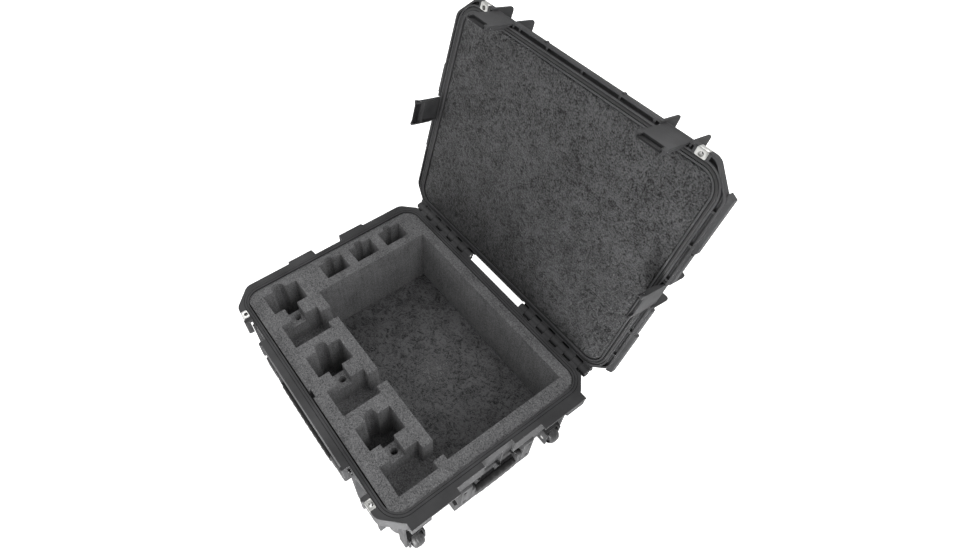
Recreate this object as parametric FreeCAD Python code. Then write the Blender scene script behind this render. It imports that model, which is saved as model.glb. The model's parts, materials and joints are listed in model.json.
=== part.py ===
"""Wheeled hard case with a foam insert for a drone, its controller and its batteries.

Frame: millimetres, origin at the centre of the underside, +X towards the wheel end, +Y towards the
hinge, +Z up. The lid is modelled open, resting on its hinge stop.
"""
import FreeCAD
import Part
import math
import os

V = FreeCAD.Vector

# ---------------------------------------------------------------- driving dimensions (mm)
CAVITY_X = 279.5          # half length of the interior
CAVITY_Y = 214.0          # half width of the interior
CAVITY_R = 32.0           # interior corner radius
WALL = 6.0                # shell wall
RIM_Z = 228.0             # height of the base's rim
FLOOR_Z = 25.0            # inside floor of the base
UNDERSIDE_Z = 20.0        # underside of the floor plate, above the runners
RIM_X = 300.0             # half length over the rim band
RIM_FRONT = -237.0        # front of the rim band
RIM_BACK = 232.0          # back of the rim band
RIM_CORNER = 497.0        # x plus y along the cut corners of the rim band
RIM_ROUND = 22.0          # radius between a cut corner and its sides
FOOT_X = 271.0            # half length of the tub at its floor
FOOT_Y = 208.5            # half width of the tub at its floor
FOOT_R = 33.0             # corner radius of the tub at its floor
FOOT_EDGE = 6.0           # bevel round the floor
SHELF_X = 312.0           # reach of the shelves on the wheel end
SHELF_Y = (97.0, 199.0)   # their span on either side of the middle
BUMPER_X = 311.0          # reach of the corner bumpers below the shelves
BUMPER_H = 28.0
BAND_DROP = 42.0          # depth of the rim band below the rim
BAND_T = 4.5              # thickness of the rim band
FLANGE_T = 8.0            # thickness of the rim flange
LID_GAP = 0.8             # gap between the closed rims
LID_H = 70.0              # height of the lid above the rim
LID_X = 302.0             # half length over the lid's rim band
LID_BAND_T = 3.5          # thickness of that band
LID_FLANGE_H = 12.0       # height of the lid's rim band
LID_DECK = 4.0            # thickness of the plate that joins band and wall
LID_LIP = 7.0             # width of the flat rim beside the interior
LID_BACK = 228.5          # back of the lid's rim band, closed
LID_DEPTH = 64.0          # depth of the lid's inside
LID_STRAIGHT = 22.0       # height to which the lid's walls are upright
LID_DRAW = 6.0            # how far they draw in above it
LID_CORNER = 22.0         # how much larger the corner radius is at the top
LID_EDGE = 9.0            # bevel round the lid's top
TONGUE = (4.6, 8.8)       # the base's sealing tongue, offsets out from the interior
TONGUE_H = 0.5            # height of the tongue above the rim
LID_GROOVE = (3.2, 10.0)  # the lid's groove for the gasket, offsets out from the interior
GROOVE_H = 4.0            # depth of that groove
OPEN_DEG = 104.8          # opening angle of the lid on its stop
HINGE_Y = 238.6
HINGE_Z = RIM_Z - 1.6
KNUCKLE_R = 7.5
KNUCKLE_PITCH = 19.3
KNUCKLE_COUNT = 10
KNUCKLE_START = 82.0
KNUCKLE_GAP = 0.4         # half the gap between two knuckles
SOCKET_GAP = 0.7          # gap round a knuckle in its socket
SOCKET_Y = 226.0          # front of the slot that opens each socket towards the rim
PIN_R = 2.5
RUN = 0.06                # running clearance on the radius
LATCH_X = 188.0           # front latches, either side of the middle
LATCH_HALF = 25.0         # half width of a latch
PIVOT_OUT = 9.0           # latch pivot, out from the wall
PIVOT_UP = 13.0           # latch pivot, above the rim
TRIGGER_OUT = 8.4         # trigger pivot, out from the wall
TRIGGER_Z = RIM_Z - 48.0
TRIGGER_PIN_R = 1.0
STRIKE_OUT = 4.5
STRIKE_DROP = 35.0
PADLOCK_X = 236.0
PADLOCK_R = 4.0
PADLOCK_DEPTH = 14.0      # depth of the base's padlock hole
PADLOCK_Y = -229.5        # middle of the padlock holes
PADLOCK_BOSS = 14.0       # half width of the solid round a padlock hole
LINER = (9.5, 6.6)        # half sizes of a padlock hole's steel liner
LINER_H = 10.0
WHEEL_X = 279.0
WHEEL_Y = 177.5
WHEEL_Z = 27.0
WHEEL_R = 24.0
WHEEL_W = 26.0
AXLE_R = 4.0
FOAM_TOP = RIM_Z - 4.0
BAY_DEPTH = 148.0
PAD_TOP = FOAM_TOP - BAY_DEPTH
FOAM_GAP = 0.5
FOAM_FRONT_GAP = 3.0      # gap along the front of the insert
GROUP_PITCH = 180.0
HANDLE_Z = RIM_Z - 60.0   # pivot of the front carry handle
FRONT_OUT = 14.0          # its distance out from the wall
FRONT_GRIP = 112.0        # half length of the front carry handle
END_Z = RIM_Z - 86.0      # pivot of the carry handle on the wheel end
END_OUT = 12.0
END_GRIP = 60.0
HANDLE_PIN_R = 3.0
FRONT_SCREWS = (FRONT_GRIP + 14, FRONT_GRIP + 28)
END_SCREW_Z = (RIM_Z - 62, RIM_Z - 112)
KICK_X = 289.0            # reach of the kick plate below the end handle
KICK_Y = 86.0             # its half width
KICK_Z = 58.0             # its top
HANDLE_THICK = 11.0
TUBE_Y = 60.0
TUBE_Z = 11.0
TUBE_R = 7.0
VALVE_Z = 100.0           # pressure valve on the pull-handle end
VALVE_R = 15.0
VALVE_CAP_R = 10.0

BODY_X = CAVITY_X + WALL
BODY_Y = CAVITY_Y + WALL
BODY_R = CAVITY_R + WALL


# ---------------------------------------------------------------- shape helpers
def box(x0, x1, y0, y1, z0, z1):
    return Part.makeBox(x1 - x0, y1 - y0, z1 - z0, V(x0, y0, z0))


def rod(start, direction, radius, length):
    return Part.makeCylinder(radius, length, V(*start), V(*direction))


def slab(x0, x1, y0, y1, z0, z1, radius):
    """A plate with its four upright corners rounded."""
    plate = box(x0, x1, y0, y1, z0, z1)
    upright = [e for e in plate.Edges if abs(e.tangentAt(e.FirstParameter).z) > 0.9]
    return plate.makeFillet(radius, upright)


def prism(points, start, length, axis):
    """A closed outline pushed along X or Y. The outline's points are (across, z)."""
    if axis == "x":
        corners = [V(start, a, b) for a, b in points]
        along = V(length, 0, 0)
    else:
        corners = [V(a, start, b) for a, b in points]
        along = V(0, length, 0)
    return Part.Face(Part.makePolygon(corners + corners[:1])).extrude(along)


def joined(shapes):
    first, rest = shapes[0], shapes[1:]
    return (first.fuse(rest) if rest else first).removeSplitter()


def less(shape, tools):
    return shape.cut(tools)


def bevelled(shape, size, keep):
    """The shape with the edges that keep() picks bevelled, or rounded where the size is negative."""
    edges = [e for e in shape.Edges if keep(e)]
    if size < 0:
        return shape.makeFillet(-size, edges)
    return shape.makeChamfer(size, edges)


def opened(shape):
    """A lid shape, drawn closed, turned about the hinge to the open pose."""
    shape = shape.copy()
    shape.rotate(V(0, HINGE_Y, HINGE_Z), V(1, 0, 0), -OPEN_DEG)
    return shape


def on_wall(shape, side, along=0.0):
    """Places a shape drawn at a wall: local Y is outwards from the wall, local X runs along it."""
    turn = {"front": 180.0, "right": -90.0, "left": 90.0}[side]
    move = {"front": V(along, -BODY_Y, 0), "right": V(BODY_X, along, 0), "left": V(-BODY_X, along, 0)}[side]
    shape = shape.copy()
    shape.rotate(V(0, 0, 0), V(0, 0, 1), turn)
    shape.translate(move)
    return shape


# ---------------------------------------------------------------- hinge
def knuckle_spans(owner):
    """Start and end along X of each knuckle of the base (owner 0) or the lid (owner 1)."""
    spans = []
    for side in (-1, 1):
        for i in range(owner, KNUCKLE_COUNT, 2):
            near = KNUCKLE_START + i * KNUCKLE_PITCH
            pair = sorted((side * near, side * (near + KNUCKLE_PITCH)))
            spans.append((pair[0] + KNUCKLE_GAP, pair[1] - KNUCKLE_GAP))
    return spans


def hinge_rod(x0, x1, radius):
    return rod((x0, HINGE_Y, HINGE_Z), (1, 0, 0), radius, x1 - x0)


def hinge_bars(y0, z0, z1):
    """The two bars along the rim that the knuckles grow from, one on each side of the middle."""
    x0, x1 = KNUCKLE_START, KNUCKLE_START + KNUCKLE_COUNT * KNUCKLE_PITCH
    y1 = HINGE_Y - KNUCKLE_R + 2
    return [box(x0, x1, y0, y1, z0, z1), box(-x1, -x0, y0, y1, z0, z1)]


def sockets(owner, z0, z1):
    """Cutters round the knuckles of the base (owner 0) or the lid (owner 1): a round socket for each, and
    a slot that opens it towards the rim."""
    grow = 2 * KNUCKLE_GAP
    cutters = []
    for x0, x1 in knuckle_spans(owner):
        cutters.append(hinge_rod(x0 - grow, x1 + grow, KNUCKLE_R + SOCKET_GAP))
        cutters.append(box(x0 - grow, x1 + grow, SOCKET_Y, HINGE_Y, z0, z1))
    return cutters


def base_knuckles():
    solids = []
    for x0, x1 in knuckle_spans(0):
        solids.append(hinge_rod(x0, x1, KNUCKLE_R))
        solids.append(box(x0, x1, RIM_BACK - 6, HINGE_Y, HINGE_Z - KNUCKLE_R, RIM_Z - 0.2))
    return solids


def lid_knuckles():
    solids = []
    for x0, x1 in knuckle_spans(1):
        solids.append(hinge_rod(x0, x1, KNUCKLE_R))
        solids.append(box(x0, x1, LID_BACK - 4, HINGE_Y, RIM_Z + LID_GAP, HINGE_Z + KNUCKLE_R))
    return solids


def hinge_pin(side):
    x0 = side * KNUCKLE_START
    x1 = side * (KNUCKLE_START + KNUCKLE_COUNT * KNUCKLE_PITCH)
    x0, x1 = sorted((x0, x1))
    return hinge_rod(x0 + 1, x1 - 1, PIN_R)


# ---------------------------------------------------------------- rim band, shared by base and lid
def rim_plate(half_x, back, z0, z1, inset=0.0):
    """A plate with the rim band's outline: straight sides and four cut corners, drawn in by an inset."""
    x, f, b = half_x - inset, RIM_FRONT + inset, back - inset
    reach = RIM_CORNER - inset * math.sqrt(2)
    right = [(reach + f, f), (x, x - reach), (x, reach - x), (reach - b, b)]
    left = [(-a, y) for a, y in reversed(right)]
    corners = [V(a, y, z0) for a, y in right + left]
    plate = Part.Face(Part.makePolygon(corners + corners[:1])).extrude(V(0, 0, z1 - z0))
    upright = [e for e in plate.Edges if abs(e.tangentAt(e.FirstParameter).z) > 0.9]
    return plate.makeFillet(RIM_ROUND, upright)


def band_ring(half_x, back, z0, z1, thickness):
    """The outer wall of a rim band."""
    return rim_plate(half_x, back, z0, z1).cut(rim_plate(half_x, back, z0 - 1, z1 + 1, thickness))


def rim_ring(offset0, offset1, z0, z1):
    """A ring that follows the interior outline, between two offsets from it."""
    a, b = offset0, offset1
    outer = slab(-CAVITY_X - b, CAVITY_X + b, -CAVITY_Y - b, CAVITY_Y + b, z0, z1, CAVITY_R + b)
    inner = slab(-CAVITY_X - a, CAVITY_X + a, -CAVITY_Y - a, CAVITY_Y + a, z0 - 1, z1 + 1, CAVITY_R + a)
    return outer.cut(inner)


def band_ribs(z0, z1, front_xs, end_ys):
    """Cross ribs that tie the rim band to the wall."""
    half = 2.0
    ribs = []
    for x in front_xs:
        ribs.append(box(x - half, x + half, RIM_FRONT + 1, -BODY_Y + 1, z0, z1))
    for y in end_ys:
        ribs.append(box(BODY_X - 1, RIM_X - 1, y - half, y + half, z0, z1))
        ribs.append(box(1 - RIM_X, 1 - BODY_X, y - half, y + half, z0, z1))
    return ribs


def end_bar(side, y0, y1, out, z0, z1):
    """A bumper bar on the end of a rim band, with sloped ends."""
    slope = 5.0
    root = side * (RIM_X - 2)
    outline = [(root, y0 - slope), (side * out, y0), (side * out, y1), (root, y1 + slope)]
    corners = [V(a, b, z0) for a, b in outline]
    return Part.Face(Part.makePolygon(corners + corners[:1])).extrude(V(0, 0, z1 - z0))


def padlock_holes(z0, z1):
    """Holes through the rim bands, one at each front corner."""
    return [rod((side * PADLOCK_X, PADLOCK_Y, z0), (0, 0, 1), PADLOCK_R, z1 - z0) for side in (-1, 1)]


def padlock_boss(side, z0, z1):
    """The solid round a padlock hole, from the band to the wall."""
    x = side * PADLOCK_X
    return box(x - PADLOCK_BOSS, x + PADLOCK_BOSS, RIM_FRONT + 1, 1 - BODY_Y, z0, z1)


def padlock_relief(side):
    """Room for the shackle inside the band, below the base's boss."""
    x, half = side * PADLOCK_X, PADLOCK_R + 2.5
    return box(x - half, x + half, RIM_FRONT + 1.5, -BODY_Y - 4, RIM_Z - BAND_DROP - 1, RIM_Z - PADLOCK_DEPTH)


def padlock_liner(side, z0, z1):
    """A square steel liner round a padlock hole, flush with the front of the band."""
    x, (half_x, half_y) = side * PADLOCK_X, LINER
    y0 = RIM_FRONT - 0.7
    block = slab(x - half_x, x + half_x, y0, y0 + 2 * half_y, z0, z1, 2.5)
    return less(block, padlock_holes(z0 - 1, z1 + 1))


# ---------------------------------------------------------------- base shell
def wheel_well(grow, y_sign):
    """The corner space that takes a wheel, grown for its walls."""
    half = WHEEL_W / 2 + 6.5 + grow
    yc = y_sign * WHEEL_Y
    top = WHEEL_Z + WHEEL_R + 4 + grow
    return box(WHEEL_X - WHEEL_R - 4 - grow, BODY_X + 20, yc - half, yc + half, -1, top)


def runner(y0, y1, x0, x1):
    """A runner under the floor, with sloped ends, that the case rests on."""
    slope = 14.0
    outline = [(x0, UNDERSIDE_Z + 2), (x0 + slope, 0), (x1 - slope, 0), (x1, UNDERSIDE_Z + 2)]
    return prism(outline, y0, y1 - y0, "y")


def upright_ribs():
    """Upright stiffening ribs on the front, the back and the pull-handle end."""
    z0, z1 = UNDERSIDE_Z + 12, RIM_Z - BAND_DROP + 8
    half, proud, root = 4.0, 7.0, 14.0
    ribs = []
    for x in (-232, -157, 157, 232):
        ribs.append(box(x - half, x + half, -BODY_Y - proud, -BODY_Y + root, z0, z1))
    for x in (-225, -150, -75, 0, 75, 150, 225):
        ribs.append(box(x - half, x + half, BODY_Y - root, BODY_Y + proud, z0, z1))
    for y in (-160, -110, 110, 160):
        ribs.append(box(-BODY_X - proud, -BODY_X + root, y - half, y + half, z0, z1))
    return ribs


def handle_pads():
    """Flat pads on the sloping walls, behind the handle brackets and the valve."""
    deep = 18.0
    pads = []
    for side in (-1, 1):
        x0, x1 = sorted((side * (FRONT_GRIP + 2), side * (FRONT_GRIP + 38)))
        pads.append(on_wall(box(x0, x1, -deep, 0, HANDLE_Z - 26, HANDLE_Z + 14), "front"))
        x0, x1 = sorted((side * (END_GRIP + 1.5), side * (END_GRIP + 25)))
        pads.append(on_wall(box(x0, x1, -deep, 0, RIM_Z - 138, RIM_Z - BAND_DROP - 1), "right"))
    pads.append(on_wall(rod((0, -deep, VALVE_Z), (0, 1, 0), VALVE_R, deep), "left"))
    return pads


def corner_bumper(y_sign):
    """The block at a wheel end's corner: a light face below the shelf, and a strut down to the wheel."""
    y0, y1 = sorted((y_sign * SHELF_Y[1], y_sign * (SHELF_Y[1] - 41)))
    root = BODY_X - 12
    outline = [(root, RIM_Z - 2 * BUMPER_H), (root, RIM_Z), (BUMPER_X, RIM_Z), (BUMPER_X, RIM_Z - BUMPER_H)]
    strut_y0, strut_y1 = sorted((y_sign * 197.2, y_sign * 203.0))
    strut = box(FOOT_X - 6, BODY_X, strut_y0, strut_y1, 8, RIM_Z - BUMPER_H + 4)
    return [prism(outline, y0, y1 - y0, "y"), strut]


def kick_plate():
    """The plate low on the wheel end, and two thin ribs above it behind the carry handle."""
    solids = [box(FOOT_X - 10, KICK_X, -KICK_Y, KICK_Y, UNDERSIDE_Z, KICK_Z)]
    for y in (-25, 25):
        solids.append(box(FOOT_X - 4, KICK_X - 2, y - 1.5, y + 1.5, KICK_Z - 2, RIM_Z - BAND_DROP + 4))
    return solids


def shelf(y_sign):
    """The flat shelf beside the rim on the wheel end."""
    y0, y1 = sorted(y_sign * y for y in SHELF_Y)
    return box(RIM_X - 3, SHELF_X, y0, y1, RIM_Z - 5, RIM_Z)


def strike(half):
    """The ledge that a latch hooks under, drawn at a wall."""
    return box(-half, half, -1, STRIKE_OUT, RIM_Z - STRIKE_DROP, RIM_Z)


def guards(half):
    """A pair of rounded guards beside a front latch, drawn at a wall."""
    solids = []
    for x0 in (-half - 8, half):
        guard = box(x0, x0 + 8, 10, 21, RIM_Z - BAND_DROP, RIM_Z - 1)
        solids.append(bevelled(guard, -3.5, lambda e: e.BoundBox.YMin > 20.9 and e.BoundBox.XLength < 0.1))
    return solids


def level_outline(half_x, half_y, radius, z):
    """A level rectangle with rounded corners, as a wire."""
    plate = slab(-half_x, half_x, -half_y, half_y, z, z + 1, radius)
    return [f for f in plate.Faces if f.BoundBox.ZMax < z + 0.1][0].OuterWire


def tub(inset, z0, edge):
    """The tub's form drawn in by an inset: upright below the rim, then narrower down to its floor."""
    shoulder = RIM_Z - BAND_DROP
    sections = [(FOOT_X - inset - edge, FOOT_Y - inset - edge, FOOT_R - inset - edge, z0),
                (FOOT_X - inset, FOOT_Y - inset, FOOT_R - inset, z0 + edge),
                (BODY_X - inset, BODY_Y - inset, BODY_R - inset, shoulder),
                (BODY_X - inset, BODY_Y - inset, BODY_R - inset, RIM_Z)]
    if edge == 0:
        sections = sections[1:]
    return Part.makeLoft([level_outline(*section) for section in sections], True, True)


def base_shell():
    flange = rim_plate(RIM_X, RIM_BACK, RIM_Z - FLANGE_T, RIM_Z)
    band = band_ring(RIM_X, RIM_BACK, RIM_Z - BAND_DROP, RIM_Z - 1, BAND_T)
    solids = [tub(0.0, UNDERSIDE_Z, FOOT_EDGE), flange, band]
    front_xs, end_ys = (-150, -100, -50, 0, 50, 100, 150), (-150, -100, 100, 150)
    solids += band_ribs(RIM_Z - BAND_DROP + 4, RIM_Z - 2, front_xs, end_ys)
    for y0, y1 in ((-93, -36), (36, 95)):
        solids.append(end_bar(-1, y0, y1, 309.0, RIM_Z - BAND_DROP + 4, RIM_Z - 4))
    for side in (-1, 1):
        solids.append(padlock_boss(side, RIM_Z - PADLOCK_DEPTH, RIM_Z))
        solids.append(shelf(side))
        solids += corner_bumper(side)
    solids += upright_ribs() + handle_pads() + kick_plate()
    solids += hinge_bars(RIM_BACK - 6, HINGE_Z - KNUCKLE_R, RIM_Z - 0.2)
    for y0, y1 in ((-199, -189), (-128, -100), (-15, 15), (100, 128), (189, 199)):
        reach = 240.0 if abs(y0) > 150 else 262.0
        solids.append(runner(y0, y1, -262.0, reach))
    shell = joined(solids)
    front_recess = box(-29, 29, 0, 30, RIM_Z - BAND_DROP - 1, RIM_Z + 1)
    end_recess = box(-35, 35, 0, 30, RIM_Z - BAND_DROP - 1, RIM_Z + 1)
    recesses = [on_wall(front_recess, "front", s * LATCH_X) for s in (-1, 1)]
    recesses += [on_wall(end_recess, s) for s in ("left", "right")]
    shell = less(shell, recesses)
    additions = []
    for s in (-1, 1):
        additions.append(on_wall(strike(29.5), "front", s * LATCH_X))
        additions += [on_wall(guard, "front", s * LATCH_X) for guard in guards(29.0)]
    additions += [on_wall(strike(35.5), s) for s in ("left", "right")]
    shell = joined([shell] + additions)
    # the walls of the wheel wells stand inside the tub
    mouth = slab(-CAVITY_X, CAVITY_X, -CAVITY_Y, CAVITY_Y, RIM_Z - 1, RIM_Z + 1, CAVITY_R)
    cavity = joined([tub(WALL, FLOOR_Z, 0), mouth])
    shell = less(shell, [less(cavity, [wheel_well(5.0, s) for s in (-1, 1)])])
    shell = less(shell, [wheel_well(0.0, s) for s in (-1, 1)])
    # tongue and its two grooves on the rim
    shell = less(shell, [rim_ring(TONGUE[0] - 1, TONGUE[0], RIM_Z - 2, RIM_Z + 1),
                         rim_ring(TONGUE[1], TONGUE[1] + 1, RIM_Z - 2, RIM_Z + 1)])
    shell = joined([shell, rim_ring(*TONGUE, RIM_Z - 2.5, RIM_Z + TONGUE_H)])
    shell = less(shell, padlock_holes(RIM_Z - PADLOCK_DEPTH - 1, RIM_Z + 1))
    shell = less(shell, [padlock_relief(side) for side in (-1, 1)])
    # sockets for the lid's knuckles, then the base's own knuckles and the pin's bore
    shell = less(shell, sockets(1, HINGE_Z - KNUCKLE_R - 1, RIM_Z + 1))
    shell = joined([shell] + base_knuckles())
    shell = less(shell, [hinge_rod(x0 - 1, x1 + 1, PIN_R + 0.02) for x0, x1 in knuckle_spans(0)])
    return less(shell, [base_liner(side) for side in (-1, 1)])


def base_liner(side):
    return padlock_liner(side, RIM_Z - LINER_H, RIM_Z + 0.2)


# ---------------------------------------------------------------- lid shell
def latch_fins(side, along, half):
    """The pair of rounded ears that guard a latch and hold its pin, drawn at the lid's wall."""
    fins = []
    z0, z1, out = RIM_Z + 3, RIM_Z + 54, 18.0
    for x0 in (-half - 4.2, half + 1.2):
        ear = box(x0, x0 + 3.0, -LID_DRAW - 2, out, z0, z1)
        ear = bevelled(ear, -8.0, lambda e: e.BoundBox.YMin > out - 0.1 and e.BoundBox.XLength > 2.9)
        fins.append(on_wall(ear, side, along))
    return fins


def lid_top_ribs():
    """Raised ribs and stacking pads on top of the lid."""
    top = RIM_Z + LID_H
    ribs = []
    for y in (-150, -50, 50, 150):
        ribs.append(slab(-235, 235, y - 9, y + 9, top - 2, top + 3, 8.0))
    return ribs


def lid_wall_ribs(low, top):
    """Upright ribs on the lid's back and end walls."""
    half, root, z0, z1 = 4.0, LID_DRAW + 3, low + LID_FLANGE_H - 2, top - 12
    y0, y1 = BODY_Y - root, BODY_Y + 6
    ribs = [box(x - half, x + half, y0, y1, z0, z1) for x in (-232, -140, -75, 75, 140, 232)]
    for y in (-150, -90, 90, 150):
        for side in (-1, 1):
            x0, x1 = sorted((side * (BODY_X - root), side * (BODY_X + 4)))
            ribs.append(box(x0, x1, y - half, y + half, z0, z1))
    return ribs


def lid_bumps(low):
    """Two small rounded lugs on the front of the lid's band."""
    return [slab(x - 3, x + 3, RIM_FRONT - 2, RIM_FRONT + 2, low + 3, low + 10, 1.5) for x in (-85, 85)]


def crown_form(inset, z0, z1, edge):
    """The lid's form drawn in by an inset: upright at the rim, then narrower, with rounder corners, up to
    its top."""
    x, y, r = BODY_X - inset, BODY_Y - inset, BODY_R - inset
    shoulder = z1 - edge
    draw = LID_DRAW * (shoulder - RIM_Z - LID_STRAIGHT) / (LID_H - LID_EDGE - LID_STRAIGHT)
    r_top = r + draw * LID_CORNER / LID_DRAW
    sections = [(x, y, r, z0), (x, y, r, RIM_Z + LID_STRAIGHT), (x - draw, y - draw, r_top, shoulder)]
    if edge > 0:
        sections.append((x - draw - edge, y - draw - edge, r_top - edge, z1))
    return Part.makeLoft([level_outline(*section) for section in sections], True, True)


def lid_shell():
    top = RIM_Z + LID_H
    low = RIM_Z + LID_GAP
    crown = crown_form(0.0, low, top, LID_EDGE)
    lip_x, lip_y = BODY_X + LID_LIP, BODY_Y + LID_LIP
    lip = slab(-lip_x, lip_x, -lip_y, LID_BACK, low, low + LID_FLANGE_H, BODY_R + LID_LIP)
    deck = rim_plate(LID_X, LID_BACK, low + LID_FLANGE_H - LID_DECK, low + LID_FLANGE_H)
    deck = bevelled(deck, -2.5, lambda e: e.BoundBox.ZMin > low + LID_FLANGE_H - 0.1)
    band = band_ring(LID_X, LID_BACK, low + 1, low + LID_FLANGE_H - 1, LID_BAND_T)
    solids = [crown, lip, deck, band]
    end_ys = (-169, -105, -33, 33, 97, 162)
    solids += band_ribs(low + 3, low + LID_FLANGE_H - 1, (-145, -78, 2, 82, 150), end_ys)
    for side in (-1, 1):
        for y0, y1 in ((-93, -34), (34, 93)):
            solids.append(end_bar(side, y0, y1, 306.0, low + 3, low + 14))
    for y0, y1 in ((-199, -100), (97, 199)):
        solids.append(end_bar(1, y0, y1, 309.5, low + 3, low + 14))
    solids += [padlock_boss(side, low, low + LID_FLANGE_H) for side in (-1, 1)]
    solids += lid_top_ribs() + lid_wall_ribs(low, top) + lid_bumps(low)
    solids += hinge_bars(LID_BACK - 4, low, HINGE_Z + KNUCKLE_R)
    shell = joined(solids)
    half = LATCH_HALF + 1.2
    cut = joined([box(-half, half, 5.9, 30, low - 1, RIM_Z + 40),
                  box(-half, half, 1.5, 30, low + 6.6, RIM_Z + 40)])
    recesses = [on_wall(cut, "front", s * LATCH_X) for s in (-1, 1)]
    recesses += [on_wall(cut, s) for s in ("left", "right")]
    shell = less(shell, recesses)
    fins = []
    for s in (-1, 1):
        fins += latch_fins("front", s * LATCH_X, LATCH_HALF)
    for s in ("left", "right"):
        fins += latch_fins(s, 0.0, LATCH_HALF)
    shell = joined([shell] + fins)
    cavity = crown_form(WALL, low - 1, RIM_Z + LID_DEPTH, 0)
    shell = less(shell, [cavity, rim_ring(*LID_GROOVE, low - 1, low + GROOVE_H)])
    shell = less(shell, padlock_holes(low - 1, low + LID_FLANGE_H + 1))
    pin_bore = rod((-half - 6, PIVOT_OUT, RIM_Z + PIVOT_UP), (1, 0, 0), PIN_R + 0.02, 2 * half + 12)
    bores = [on_wall(pin_bore, "front", s * LATCH_X) for s in (-1, 1)]
    bores += [on_wall(pin_bore, s) for s in ("left", "right")]
    shell = less(shell, bores)
    shell = less(shell, sockets(0, low - 1, HINGE_Z + KNUCKLE_R + 1))
    shell = joined([shell] + lid_knuckles())
    shell = less(shell, [hinge_rod(x0 - 1, x1 + 1, PIN_R + RUN) for x0, x1 in knuckle_spans(1)])
    return less(shell, [lid_liner(side) for side in (-1, 1)])


def lid_liner(side):
    low = RIM_Z + LID_GAP
    return padlock_liner(side, low - 0.2, low + LINER_H)


def lid_gasket():
    low = RIM_Z + LID_GAP
    return rim_ring(LID_GROOVE[0] + 0.2, LID_GROOVE[1] - 0.2, low + 0.2, low + GROOVE_H)


def lid_foam():
    return crown_form(WALL + FOAM_GAP, RIM_Z + 2, RIM_Z + LID_DEPTH, 0)


# ---------------------------------------------------------------- latches, drawn at a wall
def latch_body():
    """A cover plate on a hinge boss, with a hook and two deep cheeks inside it. The plate's free end has
    a notch that shows the trigger, and the cheeks flare out beside it."""
    h = LATCH_HALF
    foot, notch, web = RIM_Z - 60.0, 19.0, 3.0
    plate = box(-h, h, 10.2, 13.6, foot + 1, RIM_Z + 12)
    plate = less(plate, [box(-notch, notch, 9, 15, foot - 1, foot + 10)])
    boss = rod((-h, PIVOT_OUT, RIM_Z + PIVOT_UP), (1, 0, 0), 5.2, 2 * h)
    claw = [(5.0, RIM_Z - 40), (10.4, RIM_Z - 42), (10.4, RIM_Z - 30), (9.0, RIM_Z - 36), (5.0, RIM_Z - 36)]
    hook = prism(claw, -h + web, 2 * h - 2 * web, "x")
    solids = [plate, boss, hook]
    cheek = [(5.2, foot), (13.6, foot), (13.6, RIM_Z - 2), (8.8, RIM_Z - 4), (5.2, RIM_Z - 16)]
    for side in (-1, 1):
        x0, x1 = sorted((side * h, side * (h - web)))
        solids.append(prism(cheek, x0, web, "x"))
        tip, root = side * (h + 2.5), side * (h - web)
        horn = [V(root, 9.0, foot), V(tip, 9.0, foot), V(side * h, 9.0, foot + 12), V(root, 9.0, foot + 12)]
        solids.append(Part.Face(Part.makePolygon(horn + horn[:1])).extrude(V(0, 4.6, 0)))
    body = joined(solids)
    body = less(body, [rod((-h - 1, PIVOT_OUT, RIM_Z + PIVOT_UP), (1, 0, 0), PIN_R + RUN, 2 * h + 2)])
    return less(body, [rod((-h - 1, TRIGGER_OUT, TRIGGER_Z), (1, 0, 0), TRIGGER_PIN_R + 0.02, 2 * h + 2)])


def latch_pin():
    h = LATCH_HALF + 4.0
    return rod((-h, PIVOT_OUT, RIM_Z + PIVOT_UP), (1, 0, 0), PIN_R, 2 * h)


def latch_trigger():
    """The release trigger inside the free end of a latch, with grip ribs."""
    h = LATCH_HALF - 3.4
    block = box(-h, h, 7.2, 10.0, RIM_Z - 61, TRIGGER_Z + 0.5)
    ribs = [box(-h + 2, h - 2, 6.6, 7.6, RIM_Z - up, RIM_Z - up + 1.6) for up in (60, 57, 54)]
    block = joined([block, rod((-h, TRIGGER_OUT, TRIGGER_Z), (1, 0, 0), 1.75, 2 * h)] + ribs)
    return less(block, [rod((-h - 1, TRIGGER_OUT, TRIGGER_Z), (1, 0, 0), TRIGGER_PIN_R + RUN, 2 * h + 2)])


def trigger_pin():
    h = LATCH_HALF
    return rod((-h, TRIGGER_OUT, TRIGGER_Z), (1, 0, 0), TRIGGER_PIN_R, 2 * h)


# ---------------------------------------------------------------- foam
def round_notch(x_out, y, radius, z0):
    """A finger notch that runs left from a pocket to x_out, with a round end."""
    x_end = x_out + radius
    return joined([rod((x_end, y, z0), (0, 0, 1), radius, FOAM_TOP + 1 - z0),
                   box(x_end, x_end + 30, y - radius, y + radius, z0, FOAM_TOP + 1)])


def controller_group(x):
    """One deep pocket with its notch, a bridging slot with a hole, and one shallow pocket."""
    top = FOAM_TOP + 1
    deep = FOAM_TOP - 120
    shallow = FOAM_TOP - 70
    return [
        box(x - 255, x - 203, -181, -104, deep, top),
        round_notch(x - 271, -144, 13, deep),
        box(x - 204, x - 168, -159, -130, FOAM_TOP - 26, top),
        rod((x - 186.6, -142, FOAM_TOP - 55), (0, 0, 1), 7.0, 60),
        box(x - 169, x - 107, -184, -101.5, shallow, top),
        box(x - 153, x - 122, -103, -78, shallow, top),
    ]


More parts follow.
